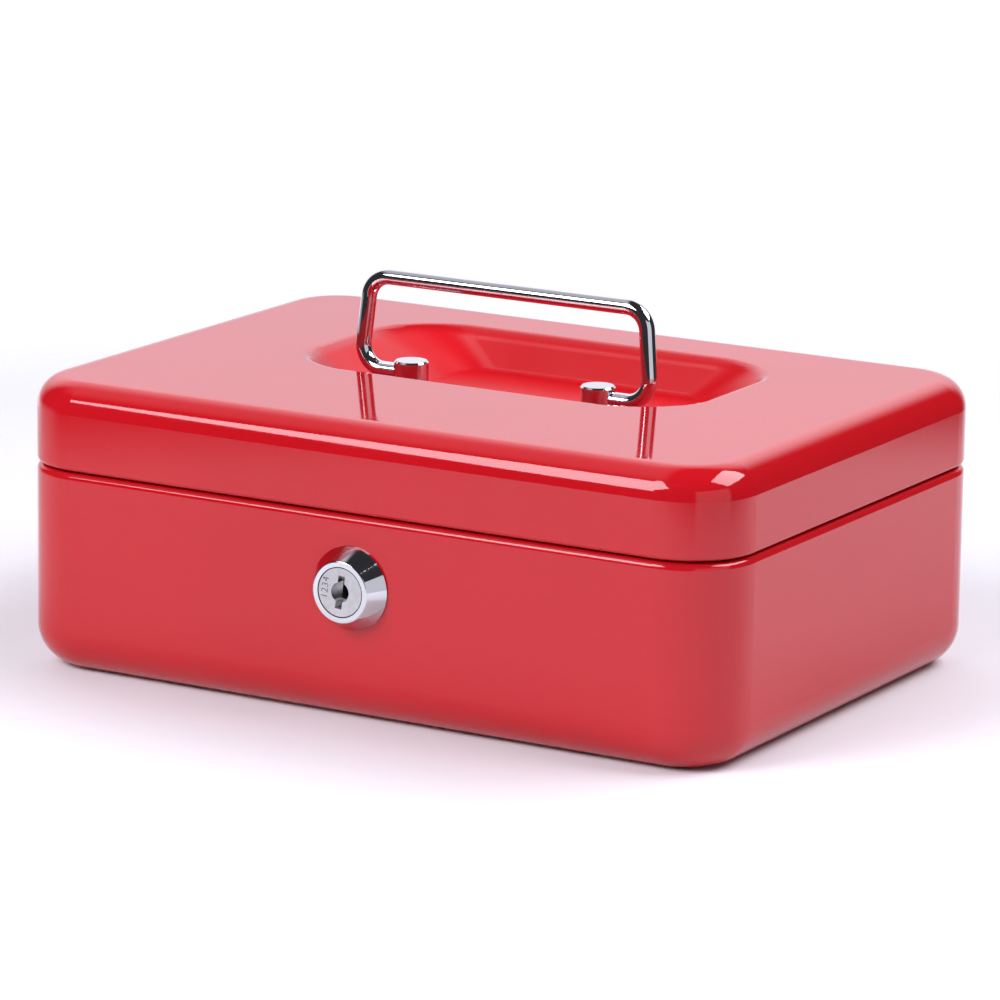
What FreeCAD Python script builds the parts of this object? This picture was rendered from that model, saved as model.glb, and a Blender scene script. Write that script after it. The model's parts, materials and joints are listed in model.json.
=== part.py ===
import FreeCAD, Part
import math
import os
import re

import Sketcher

# Cash box: pressed-steel base and lid, two hinges at the back, wire carrying handle in a drawn well,
# cam lock in the front and a lift-out coin tray.
# Millimetres and degrees. X runs along the front, -Y is the front, +Z is up.
# The origin is on the resting face, under the middle of the box.

SIZES = {
    # outer box
    "box_width": 250.0,
    "box_depth": 180.0,
    "base_height": 64.5,
    "seam_gap": 0.6,
    "lid_height": 27.3,
    "corner_radius": 22.4,
    "sheet_thickness": 1.0,
    "base_bottom_radius": 13.2,
    "lid_top_radius": 9.5,
    # rim where lid and base meet
    "shoulder_radius": 2.0,
    "lid_edge_radius": 1.6,
    "lid_flange": 3.0,
    "neck_inset": 5.0,
    "neck_height": 4.5,
    "neck_root_radius": 0.8,
    # handle well in the lid: its sharp rim before blending, and how far its sides run in to the floor
    "well_width": 143.0,
    "well_front": 18.8,
    "well_rear": 58.5,
    "well_depth": 13.0,
    "well_corner_radius": 24.0,
    "well_end_run": 25.5,
    "well_side_run": 3.5,
    "well_floor_corner_radius": 12.0,
    "well_rim_radius": 5.0,
    "well_floor_radius": 2.0,
    # handle and its posts
    "post_spacing": 67.4,
    "post_diameter": 11.0,
    "post_rise": 0.5,
    "post_chamfer": 0.5,
    "handle_drop": 4.0,
    "handle_wire": 5.0,
    "handle_reach": 29.6,
    "handle_foot_width": 104.6,
    "handle_top_width": 98.8,
    "handle_bend_radius": 7.5,
    "handle_end_depth": 7.5,
    "handle_lean": 2.5,
    "handle_clearance": 0.08,
    "post_screw_diameter": 5.0,
    "post_screw_reach": 4.0,
    "post_screw_head_diameter": 9.0,
    "post_screw_head_height": 2.4,
    "post_washer_diameter": 12.0,
    "post_washer_thickness": 0.8,
    "driver_slot_width": 1.2,
    "driver_slot_depth": 1.0,
    "screw_clearance": 0.05,
    "hole_clearance": 0.2,
    # lock
    "lock_height": 42.3,
    "bezel_protrusion": 6.4,
    "bezel_base_diameter": 26.0,
    "bezel_face_diameter": 18.9,
    "bezel_edge_radius": 0.4,
    "bezel_rim_height": 0.6,
    "barrel_diameter": 19.0,
    "barrel_length": 14.0,
    "plug_head_diameter": 15.6,
    "plug_head_depth": 3.0,
    "plug_recess": 0.15,
    "plug_diameter": 12.0,
    "plug_clearance": 0.06,
    "keyhole_diameter": 6.2,
    "keyhole_depth": 3.5,
    "key_slot_length": 10.3,
    "key_slot_width": 2.3,
    "key_slot_depth": 17.0,
    "key_slot_tilt": 7.0,
    "wafer_pitch": 2.4,
    "wafer_thickness": 0.9,
    "wafer_width": 4.4,
    "wafer_height": 10.6,
    "wafer_window": 6.0,
    "wafer_clearance": 0.05,
    "lock_nut_flats": 24.0,
    "lock_nut_thickness": 3.5,
    "lock_washer_diameter": 24.0,
    "lock_washer_thickness": 0.8,
    # cam on the plug and the catch in the lid that it hooks over
    "cam_thickness": 2.0,
    "cam_hub_diameter": 14.0,
    "cam_hook_gap": 1.4,
    "cam_hook_width": 5.0,
    "cam_hook_angle": 80.0,
    "cam_web_angle": 22.0,
    "cam_square": 7.0,
    "cam_washer_diameter": 10.0,
    "cam_washer_thickness": 0.8,
    "cam_screw_diameter": 4.0,
    "cam_screw_reach": 4.0,
    "cam_screw_head_diameter": 7.6,
    "cam_screw_head_height": 2.2,
    "catch_thickness": 1.2,
    "catch_plate_width": 30.0,
    "catch_plate_height": 8.5,
    "catch_rise": 2.5,
    "catch_clearance": 1.5,
    "catch_width": 10.0,
    "catch_tab_gap": 1.0,
    "catch_tab_overlap": 1.0,
    # hinges
    "hinge_spacing": 130.0,
    "hinge_width": 40.0,
    "hinge_set_in": 1.0,
    "knuckle_radius": 2.0,
    "knuckle_gap": 0.3,
    "hinge_pin_radius": 1.0,
    "hinge_pin_clearance": 0.05,
    "leaf_thickness": 1.0,
    "leaf_height": 15.0,
    "notch_clearance": 0.5,
    # coin tray
    "tray_clearance": 0.8,
    "tray_drop": 1.0,
    "tray_depth": 27.5,
    "tray_corner_radius": 29.0,
    "tray_wall": 1.8,
    "tray_notch_width": 54.0,
    "tray_notch_clearance": 2.0,
    "cup_row_depth": 66.0,
    "cup_cove_radius": 18.0,
    "cup_cove_toe": 0.8,
    "divider_drop": 2.0,
    "ledge_length": 90.0,
    "ledge_width": 11.0,
    "ledge_height": 8.0,
}
WAFER_COUNT = 5
# distance under which two faces or edges count as lying at the same place
SAME_PLACE = 1e-5

# heights and faces that several pieces share
SEAM = "(base_height + seam_gap / 2)"
LID_EDGE = "(base_height + seam_gap)"
LID_TOP = "(base_height + seam_gap + lid_height)"
NECK_TOP = "(base_height + neck_height)"
WELL_FLOOR = f"({LID_TOP} - well_depth)"
WELL_UNDER = f"({WELL_FLOOR} - sheet_thickness)"
POST_TOP = f"({LID_TOP} + post_rise)"
HANDLE_AXIS = f"({POST_TOP} - handle_drop)"
FRONT = "(-box_depth / 2)"
FRONT_INSIDE = "(-box_depth / 2 + sheet_thickness)"
HINGE_AXIS = "(box_depth / 2 - hinge_set_in)"
BARREL_END = f"({FRONT_INSIDE} + barrel_length)"
CAM_FRONT = f"({BARREL_END} + plug_clearance)"
CAM_BACK = f"({CAM_FRONT} + cam_thickness)"
CAM_SCREW_HEAD = f"({CAM_BACK} + cam_washer_thickness)"
CATCH_FRONT = f"({FRONT} + neck_inset + sheet_thickness + catch_clearance)"
CATCH_UNDER = f"({NECK_TOP} + catch_rise)"
TAB_UNDER = "(lock_height + barrel_diameter / 2 + catch_tab_gap)"
TAB_TOP = f"({TAB_UNDER} + catch_thickness)"
HOOK_INNER = f"(sqrt(({TAB_TOP} - lock_height)^2 + (catch_width / 2)^2) + cam_hook_gap)"
HOOK_OUTER = f"({HOOK_INNER} + cam_hook_width)"
TRAY_TOP = "(base_height - tray_drop)"
TRAY_FLOOR = f"({TRAY_TOP} - tray_depth)"

doc = FreeCAD.newDocument("cash_box")
sheet = doc.addObject("Spreadsheet::Sheet", "Sizes")
for row, (alias, value) in enumerate(SIZES.items(), start=1):
    sheet.set(f"A{row}", alias)
    sheet.set(f"B{row}", str(value))
    sheet.setAlias(f"B{row}", alias)
doc.recompute()

nodes = []


def on_sheet(text):
    """An expression in which each size's name points at its cell on the sheet."""
    return re.sub(r"[a-z_]+", lambda word: f"Sizes.{word[0]}" if word[0] in SIZES else word[0], text)


def size(text):
    """The present value of an expression on the sheet's sizes."""
    return float(sheet.evalExpression(on_sheet(text)))


def keep(item, label):
    """List an object as one of the box's sub-parts."""
    item.Label = label
    nodes.append(item)
    return item


def place(item, x="0", y="0", z="0", axis=None, angle="0"):
    """Move an object to expressions on the sheet, after a turn about an axis."""
    if axis:
        turn = FreeCAD.Rotation(FreeCAD.Vector(*axis), size(angle))
        item.Placement = FreeCAD.Placement(FreeCAD.Vector(), turn)
    for name, text in (("x", x), ("y", y), ("z", z)):
        item.setExpression(f"Placement.Base.{name}", on_sheet(text))
    return item


def primitive(kind, name, **sizes):
    """A Part primitive whose properties follow expressions on the sheet."""
    item = doc.addObject(f"Part::{kind}", name)
    for prop, text in sizes.items():
        item.setExpression(prop, on_sheet(text))
    return item


def cut(name, base, tool):
    item = doc.addObject("Part::Cut", name)
    item.Base = base
    item.Tool = tool
    return item


def fuse(name, shapes):
    item = doc.addObject("Part::MultiFuse", name)
    item.Shapes = shapes
    return item


def sketch_on(body, plane, offset="0"):
    """An empty sketch on one of the body's own origin planes, moved along the plane's normal."""
    sketch = body.newObject("Sketcher::SketchObject", f"{body.Name}_sketch")
    support = next(item for item in body.Origin.OriginFeatures if item.Role == plane)
    sketch.AttachmentSupport = [(support, "")]
    sketch.MapMode = "FlatFace"
    sketch.setExpression("AttachmentOffset.Base.z", on_sheet(offset))
    return sketch


def pin(sketch, edge, end, x, y):
    """Hold one end of an edge at expressions measured from the sketch's origin."""
    for kind, text in (("DistanceX", x), ("DistanceY", y)):
        index = sketch.addConstraint(Sketcher.Constraint(kind, -1, 1, edge, end, size(text)))
        sketch.setExpression(f"Constraints[{index}]", on_sheet(text))


def circle(sketch, x, y, radius):
    centre = FreeCAD.Vector(size(x), size(y), 0)
    edge = sketch.addGeometry(Part.Circle(centre, FreeCAD.Vector(0, 0, 1), size(radius)), False)
    pin(sketch, edge, 3, x, y)
    index = sketch.addConstraint(Sketcher.Constraint("Radius", edge, size(radius)))
    sketch.setExpression(f"Constraints[{index}]", on_sheet(radius))


def bend_at(before, corner, after, radius):
    """Tangent points and centre of the arc that rounds a corner."""
    back = (before - corner).normalize()
    ahead = (after - corner).normalize()
    half = back.getAngle(ahead) / 2
    middle = (back + ahead).normalize()
    reach = radius / math.tan(half)
    depth = radius / math.sin(half)
    return corner + back * reach, corner + ahead * reach, corner + middle * depth


def outline(sketch, corners, closed=True):
    """Straight runs through corners (x, y) or (x, y, radius); a corner with a radius is an arc."""
    points = [FreeCAD.Vector(size(corner[0]), size(corner[1]), 0) for corner in corners]
    count = len(points)
    rounded = [len(corner) == 3 for corner in corners]
    starts = list(points)
    ends = list(points)
    centres = list(points)
    for i, corner in enumerate(corners):
        if rounded[i]:
            bend = bend_at(points[i - 1], points[i], points[(i + 1) % count], size(corner[2]))
            ends[i], starts[i], centres[i] = bend
    runs = []
    for i in range(count if closed else count - 1):
        runs.append(sketch.addGeometry(Part.LineSegment(starts[i], ends[(i + 1) % count]), False))
    for i, corner in enumerate(corners):
        ahead = runs[i] if i < len(runs) else None
        back = runs[i - 1] if closed or i > 0 else None
        if not rounded[i]:
            if ahead is not None and back is not None:
                sketch.addConstraint(Sketcher.Constraint("Coincident", back, 2, ahead, 1))
            if ahead is not None:
                pin(sketch, ahead, 1, corner[0], corner[1])
            else:
                pin(sketch, back, 2, corner[0], corner[1])
            continue
        bulge = (points[i] - centres[i]).normalize() * size(corner[2])
        arc = sketch.addGeometry(Part.Arc(ends[i], centres[i] + bulge, starts[i]), False)
        left_turn = (ends[i] - centres[i]).cross(starts[i] - centres[i]).z > 0
        first, last = (1, 2) if left_turn else (2, 1)
        tip = sketch.addGeometry(Part.Point(points[i]), True)
        pin(sketch, tip, 1, corner[0], corner[1])
        sketch.addConstraint(Sketcher.Constraint("PointOnObject", tip, 1, back))
        sketch.addConstraint(Sketcher.Constraint("PointOnObject", tip, 1, ahead))
        sketch.addConstraint(Sketcher.Constraint("Tangent", back, 2, arc, first))
        sketch.addConstraint(Sketcher.Constraint("Tangent", arc, last, ahead, 1))
        index = sketch.addConstraint(Sketcher.Constraint("Radius", arc, size(corner[2])))
        sketch.setExpression(f"Constraints[{index}]", on_sheet(corner[2]))


def rectangle(sketch, left, right, low, high, radius=None):
    corners = [(left, low), (right, low), (right, high), (left, high)]
    if radius:
        corners = [corner + (radius,) for corner in corners]
    outline(sketch, corners)


def box_outline(sketch, inset):
    """The box's rounded plan, drawn in by an even inset."""
    half_width = f"(box_width / 2 - {inset})"
    half_depth = f"(box_depth / 2 - {inset})"
    rectangle(sketch, f"-{half_width}", half_width, f"-{half_depth}", half_depth, f"corner_radius - {inset}")


def extrude(body, kind, sketch, length, reverse=False, both=False):
    """A Pad or a Pocket of a sketch; a Pocket runs against the sketch's normal."""
    feature = body.newObject(f"PartDesign::{kind}", f"{body.Name}_{kind.lower()}")
    feature.Profile = sketch
    feature.setExpression("Length", on_sheet(length))
    feature.Reversed = reverse
    feature.Midplane = both
    doc.recompute()
    return feature


def pad(body, sketch, length, **way):
    return extrude(body, "Pad", sketch, length, **way)


def pocket(body, sketch, length, **way):
    before = body.Shape.Volume
    feature = extrude(body, "Pocket", sketch, length, **way)
    if body.Shape.Volume >= before:
        raise RuntimeError(f"{body.Name}: a pocket cuts nothing")
    return feature


def soften(body, kind, radius, wanted):
    """A Fillet or Chamfer on the edges of the body's tip for which wanted(edge) holds."""
    base = body.Tip
    names = [f"Edge{i}" for i, edge in enumerate(base.Shape.Edges, start=1) if wanted(edge)]
    feature = body.newObject(f"PartDesign::{kind}", f"{body.Name}_{kind.lower()}")
    feature.Base = (base, names)
    feature.setExpression("Radius" if kind == "Fillet" else "Size", on_sheet(radius))
    doc.recompute()
    return feature


def hollow(body, open_height):
    """Turn the body into bent sheet, open at the flat face that lies at a height."""
    base = body.Tip
    level = size(open_height)
    names = []
    for i, face in enumerate(base.Shape.Faces, start=1):
        if face.BoundBox.ZLength < SAME_PLACE and abs(face.BoundBox.ZMin - level) < SAME_PLACE:
            names.append(f"Face{i}")
    feature = body.newObject("PartDesign::Thickness", f"{body.Name}_thickness")
    feature.Base = (base, names)
    feature.setExpression("Value", on_sheet("sheet_thickness"))
    feature.Reversed = True
    doc.recompute()
    return feature


def lies_at(edge, height):
    """True for an edge that lies flat at a height."""
    return edge.BoundBox.ZLength < SAME_PLACE and abs(edge.BoundBox.ZMin - size(height)) < SAME_PLACE


def follows(edge, inset):
    """True for an edge of the box's rounded plan drawn in by an inset."""
    middle = edge.valueAt((edge.FirstParameter + edge.LastParameter) / 2)
    beyond_x = abs(middle.x) - size("box_width / 2 - corner_radius")
    beyond_y = abs(middle.y) - size("box_depth / 2 - corner_radius")
    reach = math.hypot(max(beyond_x, 0), max(beyond_y, 0))
    return abs(reach - size(f"corner_radius - {inset}")) < SAME_PLACE


def hinge_notches(body, low, high):
    """Cut the two notches at the back rim in which the hinge knuckles turn."""
    sketch = sketch_on(body, "XZ_Plane", "-(box_depth / 2 + sheet_thickness)")
    half = "(hinge_width / 2 + notch_clearance)"
    for side in ("-", ""):
        middle = f"{side}hinge_spacing / 2"
        rectangle(sketch, f"{middle} - {half}", f"{middle} + {half}", low, high)
    depth = "sheet_thickness + hinge_set_in + knuckle_radius + notch_clearance"
    pocket(body, sketch, depth, reverse=True)


# base: one drawn shell with a rolled shoulder and a neck that the lid closes over
base = keep(doc.addObject("PartDesign::Body", "base_shell"), "base_shell")
plan = sketch_on(base, "XY_Plane")
box_outline(plan, "0")
pad(base, plan, "base_height")
neck = sketch_on(base, "XY_Plane", "base_height")
box_outline(neck, "neck_inset")
pad(base, neck, "neck_height")
soften(base, "Fillet", "base_bottom_radius", lambda edge: lies_at(edge, "0"))
soften(base, "Fillet", "shoulder_radius",
       lambda edge: lies_at(edge, "base_height") and follows(edge, "0"))
soften(base, "Fillet", "neck_root_radius",
       lambda edge: lies_at(edge, "base_height") and follows(edge, "neck_inset"))
hollow(base, NECK_TOP)
lock_hole = sketch_on(base, "XZ_Plane", "box_depth / 2")
circle(lock_hole, "0", "lock_height", "barrel_diameter / 2 + hole_clearance")
pocket(base, lock_hole, "2 * sheet_thickness")
hinge_notches(base, f"{SEAM} - knuckle_radius - 2 * notch_clearance", SEAM)


def in_well(edge):
    """True for an edge of the handle well, not one out at the lid's own edges."""
    middle = edge.CenterOfMass
    beside = abs(middle.x) < size("well_width / 2 + 2 * sheet_thickness")
    return beside and abs(middle.y) < size("well_rear + 2 * sheet_thickness")


# lid: one drawn shell with the handle well and an in-turned lower edge
lid = keep(doc.addObject("PartDesign::Body", "lid_shell"), "lid_shell")
plan = sketch_on(lid, "XY_Plane", LID_EDGE)
box_outline(plan, "0")
pad(lid, plan, "lid_height")
soften(lid, "Fillet", "lid_top_radius", lambda edge: lies_at(edge, LID_TOP))
well = sketch_on(lid, "XY_Plane", LID_TOP)
rectangle(well, "-well_width / 2", "well_width / 2", "-well_front", "well_rear", "well_corner_radius")
well_floor = sketch_on(lid, "XY_Plane", WELL_FLOOR)
floor_end = "(well_width / 2 - well_end_run)"
rectangle(well_floor, f"-{floor_end}", floor_end, "well_side_run - well_front", "well_rear - well_side_run",
          "well_floor_corner_radius")
dish = lid.newObject("PartDesign::SubtractiveLoft", "lid_shell_well")
dish.Profile = well
dish.Sections = [well_floor]
dish.Ruled = True
doc.recompute()
hollow(lid, LID_EDGE)
soften(lid, "Fillet", "well_rim_radius - sheet_thickness",
       lambda edge: lies_at(edge, f"{LID_TOP} - sheet_thickness") and in_well(edge))
soften(lid, "Fillet", "well_rim_radius", lambda edge: lies_at(edge, LID_TOP) and in_well(edge))
soften(lid, "Fillet", "well_floor_radius", lambda edge: lies_at(edge, WELL_FLOOR))
flange = sketch_on(lid, "XY_Plane", LID_EDGE)
box_outline(flange, "sheet_thickness / 2")
box_outline(flange, "lid_flange")
pad(lid, flange, "sheet_thickness")
soften(lid, "Fillet", "lid_edge_radius", lambda edge: lies_at(edge, LID_EDGE) and follows(edge, "0"))
soften(lid, "Fillet", "lid_edge_radius - sheet_thickness",
       lambda edge: lies_at(edge, f"{LID_EDGE} + sheet_thickness") and follows(edge, "sheet_thickness"))
post_holes = sketch_on(lid, "XY_Plane", WELL_FLOOR)
for side in ("-", ""):
    circle(post_holes, f"{side}post_spacing / 2", "0", "post_screw_diameter / 2 + hole_clearance")
pocket(lid, post_holes, "2 * sheet_thickness")
hinge_notches(lid, SEAM, f"{SEAM} + knuckle_radius + 2 * notch_clearance")


def handle_post(label, side):
    """A chrome post on the well's floor, cross-bored from its outer side for the handle's end."""
    post = keep(doc.addObject("PartDesign::Body", label), label)
    place(post, x=f"{side}post_spacing / 2", z=WELL_FLOOR)
    plan = sketch_on(post, "XY_Plane")
    circle(plan, "0", "0", "post_diameter / 2")
    pad(post, plan, "well_depth + post_rise")
    soften(post, "Chamfer", "post_chamfer", lambda edge: lies_at(edge, "well_depth + post_rise"))
    bore = sketch_on(post, "YZ_Plane", f"{side}post_diameter / 2")
    circle(bore, "0", f"{HANDLE_AXIS} - {WELL_FLOOR}", "handle_wire / 2 + handle_clearance")
    pocket(post, bore, "handle_end_depth + handle_clearance", reverse=side == "-")
    thread = sketch_on(post, "XY_Plane")
    circle(thread, "0", "0", "post_screw_diameter / 2 + screw_clearance")
    pocket(post, thread, "post_screw_reach + screw_clearance", reverse=True)


handle_post("handle_post_left", "-")
handle_post("handle_post_right", "")

# handle: one bent wire whose ends turn in towards each other
handle = keep(doc.addObject("PartDesign::Body", "carry_handle"), "carry_handle")
place(handle, z=HANDLE_AXIS, axis=(-1, 0, 0), angle="handle_lean")
wire_end = "(post_spacing / 2 + post_diameter / 2 - handle_end_depth)"
wire_path = sketch_on(handle, "XZ_Plane")
outline(wire_path, [
    (f"-{wire_end}", "0"),
    ("-handle_foot_width / 2", "0", "handle_bend_radius"),
    ("-handle_top_width / 2", "handle_reach", "handle_bend_radius"),
    ("handle_top_width / 2", "handle_reach", "handle_bend_radius"),
    ("handle_foot_width / 2", "0", "handle_bend_radius"),
    (wire_end, "0"),
], closed=False)
wire_section = sketch_on(handle, "YZ_Plane", f"-{wire_end}")
circle(wire_section, "0", "0", "handle_wire / 2")
doc.recompute()
wire = handle.newObject("PartDesign::AdditivePipe", "carry_handle_pipe")
wire.Profile = wire_section
wire.Spine = (wire_path, [f"Edge{i}" for i in range(1, len(wire_path.Shape.Edges) + 1)])
doc.recompute()


def group(label, shapes):
    """Several equal loose pieces that share one node."""
    item = doc.addObject("Part::Compound", label)
    item.Links = shapes
    return keep(item, label)


def ring(name, radius, bore, thickness, **way):
    disc = place(primitive("Cylinder", f"{name}_disc", Radius=radius, Height=thickness), **way)
    hole = place(primitive("Cylinder", f"{name}_hole", Radius=bore, Height=thickness), **way)
    return cut(name, disc, hole)


def slotted(name, screw, diameter, **at):
    """Cut a screwdriver's slot across a screw's head, with the slot's first corner at a place."""
    slot = primitive("Box", f"{name}_slot", Length=diameter, Width="driver_slot_width",
                     Height="driver_slot_depth")
    place(slot, **at)
    return cut(name, screw, slot)


washers = []
screws = []
for name, side in (("left", "-"), ("right", "")):
    at = {"x": f"{side}post_spacing / 2"}
    washer_low = f"({WELL_UNDER} - post_washer_thickness)"
    washers.append(ring(f"post_washer_{name}", "post_washer_diameter / 2",
                        "post_screw_diameter / 2 + hole_clearance", "post_washer_thickness",
                        z=washer_low, **at))
    head_low = f"({washer_low} - post_screw_head_height)"
    head = primitive("Cylinder", f"post_screw_head_{name}", Radius="post_screw_head_diameter / 2",
                     Height="post_screw_head_height")
    place(head, z=head_low, **at)
    shank = primitive("Cylinder", f"post_screw_shank_{name}", Radius="post_screw_diameter / 2",
                      Height=f"{WELL_FLOOR} + post_screw_reach - {head_low}")
    place(shank, z=head_low, **at)
    screw = fuse(f"post_screw_body_{name}", [head, shank])
    slot_x = f"{side}post_spacing / 2 - post_screw_head_diameter / 2"
    screws.append(slotted(f"post_screw_{name}", screw, "post_screw_head_diameter",
                          x=slot_x, y="-driver_slot_width / 2", z=head_low))
group("post_washers", washers)
group("post_screws", screws)

# lock: turned housing with a conical bezel, clamped in the front wall by a washer and a nut
LOCK = {"y": FRONT, "z": "lock_height"}
housing = place(keep(doc.addObject("PartDesign::Body", "lock_housing"), "lock_housing"), **LOCK)
barrel_back = "(sheet_thickness + barrel_length)"
head_bore = "(plug_head_diameter / 2 + plug_clearance)"
plug_bore = "(plug_diameter / 2 + plug_clearance)"
head_seat = "(plug_head_depth - bezel_protrusion)"


def turned(body, corners):
    """Revolve an outline of (radius, distance along the lock's axis) round that axis."""
    sketch = sketch_on(body, "XY_Plane")
    outline(sketch, corners)
    feature = body.newObject("PartDesign::Revolution", f"{body.Name}_revolution")
    feature.Profile = sketch
    feature.ReferenceAxis = (sketch, ["V_Axis"])
    doc.recompute()


turned(housing, [
    (head_bore, "-bezel_protrusion"),
    ("bezel_face_diameter / 2", "-bezel_protrusion", "bezel_edge_radius"),
    ("bezel_base_diameter / 2", "-bezel_rim_height"),
    ("bezel_base_diameter / 2", "0"),
    ("barrel_diameter / 2", "0"),
    ("barrel_diameter / 2", barrel_back),
    (plug_bore, barrel_back),
    (plug_bore, head_seat),
    (head_bore, head_seat),
])

ALONG = {"axis": (-1, 0, 0), "angle": "90", "z": "lock_height"}
keep(ring("lock_washer", "lock_washer_diameter / 2", "barrel_diameter / 2 + hole_clearance",
          "lock_washer_thickness", y=FRONT_INSIDE, **ALONG), "lock_washer")
nut_front = f"({FRONT_INSIDE} + lock_washer_thickness)"
nut_blank = primitive("Prism", "lock_nut_blank", Circumradius="lock_nut_flats / sqrt(3)",
                      Height="lock_nut_thickness")
nut_bore = primitive("Cylinder", "lock_nut_bore", Radius="barrel_diameter / 2 + screw_clearance",
                     Height="lock_nut_thickness")
for item in (nut_blank, nut_bore):
    place(item, y=nut_front, **ALONG)
keep(cut("lock_nut", nut_blank, nut_bore), "lock_nut")

# plug: turned, with a round keyhole, a tilted key slot, wafer slots and a square end for the cam
plug = place(keep(doc.addObject("PartDesign::Body", "lock_plug"), "lock_plug"), **LOCK)
plug_face = "(plug_recess - bezel_protrusion)"
plug_back = f"({barrel_back} + plug_clearance)"
turned(plug, [
    ("0", plug_face),
    ("plug_head_diameter / 2", plug_face),
    ("plug_head_diameter / 2", f"{head_seat} - plug_clearance"),
    ("plug_diameter / 2", f"{head_seat} - plug_clearance"),
    ("plug_diameter / 2", plug_back),
    ("0", plug_back),
])
square = sketch_on(plug, "XZ_Plane", f"-{plug_back}")
rectangle(square, "-cam_square / 2", "cam_square / 2", "-cam_square / 2", "cam_square / 2")
pad(plug, square, "cam_thickness - hole_clearance", reverse=True)
screw_bore = sketch_on(plug, "XZ_Plane", f"-({plug_back} + cam_thickness)")
circle(screw_bore, "0", "0", "cam_screw_diameter / 2 + screw_clearance")
pocket(plug, screw_bore, "cam_thickness + cam_screw_reach + screw_clearance", reverse=True)


def tilted(sketch):
    """Turn a sketch on the plug's face by the key slot's tilt."""
    turn = FreeCAD.Rotation(FreeCAD.Vector(0, 0, 1), 1)
    sketch.AttachmentOffset = FreeCAD.Placement(FreeCAD.Vector(), turn)
    sketch.setExpression("AttachmentOffset.Rotation.Angle", on_sheet("-key_slot_tilt"))
    return sketch


keyhole = sketch_on(plug, "XZ_Plane", "bezel_protrusion")
circle(keyhole, "0", "0", "keyhole_diameter / 2")
pocket(plug, keyhole, "keyhole_depth")
key_slot = tilted(sketch_on(plug, "XZ_Plane", "bezel_protrusion"))
slot_side = "key_slot_width / 2"
slot_end = "key_slot_length / 2"
rectangle(key_slot, f"-{slot_side}", slot_side, f"-{slot_end}", slot_end)
pocket(plug, key_slot, "key_slot_depth")
first_wafer = f"({head_seat} + wafer_pitch / 2)"
wafer_slot = tilted(sketch_on(plug, "XZ_Plane", f"-({first_wafer} - wafer_clearance)"))
slot_half = "(wafer_width / 2 + wafer_clearance)"
rectangle(wafer_slot, f"-{slot_half}", slot_half, "-plug_diameter", "plug_diameter")
wafer_cut = pocket(plug, wafer_slot, "wafer_thickness + 2 * wafer_clearance")
wafer_cuts = plug.newObject("PartDesign::LinearPattern", "lock_plug_wafer_cuts")
wafer_cuts.Originals = [wafer_cut]
wafer_cuts.Direction = (wafer_slot, ["N_Axis"])
wafer_cuts.Reversed = True
wafer_cuts.Occurrences = WAFER_COUNT
wafer_cuts.setExpression("Length", on_sheet(f"{WAFER_COUNT - 1} * wafer_pitch"))
plug.Tip = wafer_cuts
doc.recompute()

wafers = []
for i in range(WAFER_COUNT):
    blocks = []
    for part, width, height in (("blank", "wafer_width", "wafer_height"),
                                ("window", "key_slot_width", "wafer_window")):
        block = primitive("Box", f"wafer_{part}_{i}", Length=width, Width="wafer_thickness", Height=height)
        place(block, x=f"-{width} / 2", y=f"{first_wafer} + {i} * wafer_pitch", z=f"-{height} / 2")
        blocks.append(block)
    wafers.append(cut(f"wafer_{i}", *blocks))
place(group("lock_wafers", wafers), axis=(0, 1, 0), angle="key_slot_tilt", **LOCK)

# cam: hub, web and an arc-shaped hook concentric with the lock, on the plug's square end
hub = primitive("Cylinder", "cam_hub", Radius="cam_hub_diameter / 2", Height="cam_thickness")
hook_disc = primitive("Cylinder", "cam_hook_disc", Radius=HOOK_OUTER, Height="cam_thickness",
                      Angle="cam_hook_angle")
hook_gap = primitive("Cylinder", "cam_hook_gap", Radius=HOOK_INNER, Height="cam_thickness")
web = primitive("Cylinder", "cam_web", Radius=HOOK_OUTER, Height="cam_thickness", Angle="cam_web_angle")
square_hole = primitive("Box", "cam_square_hole", Length="cam_square + 2 * screw_clearance",
                        Width="cam_thickness", Height="cam_square + 2 * screw_clearance")
hook_start = size("180 - cam_hook_angle / 2")
web_start = hook_start - size("cam_web_angle")
for item, start in ((hub, 0), (hook_disc, hook_start), (hook_gap, 0), (web, web_start)):
    place(item, y=CAM_FRONT, **ALONG)
    about_axis = FreeCAD.Rotation(FreeCAD.Vector(0, 0, 1), start)
    item.Placement.Rotation = item.Placement.Rotation.multiply(about_axis)
square_corner = "(cam_square / 2 + screw_clearance)"
place(square_hole, x=f"-{square_corner}", y=CAM_FRONT, z=f"lock_height - {square_corner}")
cam_blank = fuse("cam_blank", [hub, cut("cam_hook", hook_disc, hook_gap), web])
keep(cut("lock_cam", cam_blank, square_hole), "lock_cam")
keep(ring("cam_washer", "cam_washer_diameter / 2", "cam_screw_diameter / 2 + hole_clearance",
          "cam_washer_thickness", y=CAM_BACK, **ALONG), "cam_washer")
cam_head = primitive("Cylinder", "cam_screw_head", Radius="cam_screw_head_diameter / 2",
                     Height="cam_screw_head_height")
place(cam_head, y=CAM_SCREW_HEAD, **ALONG)
cam_shank = primitive("Cylinder", "cam_screw_shank", Radius="cam_screw_diameter / 2",
                      Height=f"{CAM_SCREW_HEAD} - {CAM_FRONT} + cam_screw_reach + cam_screw_head_height / 2")
place(cam_shank, y=f"{CAM_FRONT} - cam_screw_reach", **ALONG)
cam_head_back = f"({CAM_SCREW_HEAD} + cam_screw_head_height)"
cam_screw = slotted("cam_screw", fuse("cam_screw_body", [cam_head, cam_shank]), "cam_screw_head_diameter",
                    x="-cam_screw_head_diameter / 2", y=f"{cam_head_back} - driver_slot_depth",
                    z="lock_height + driver_slot_width / 2", axis=(-1, 0, 0), angle="90")
keep(cam_screw, "cam_screw")

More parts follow.
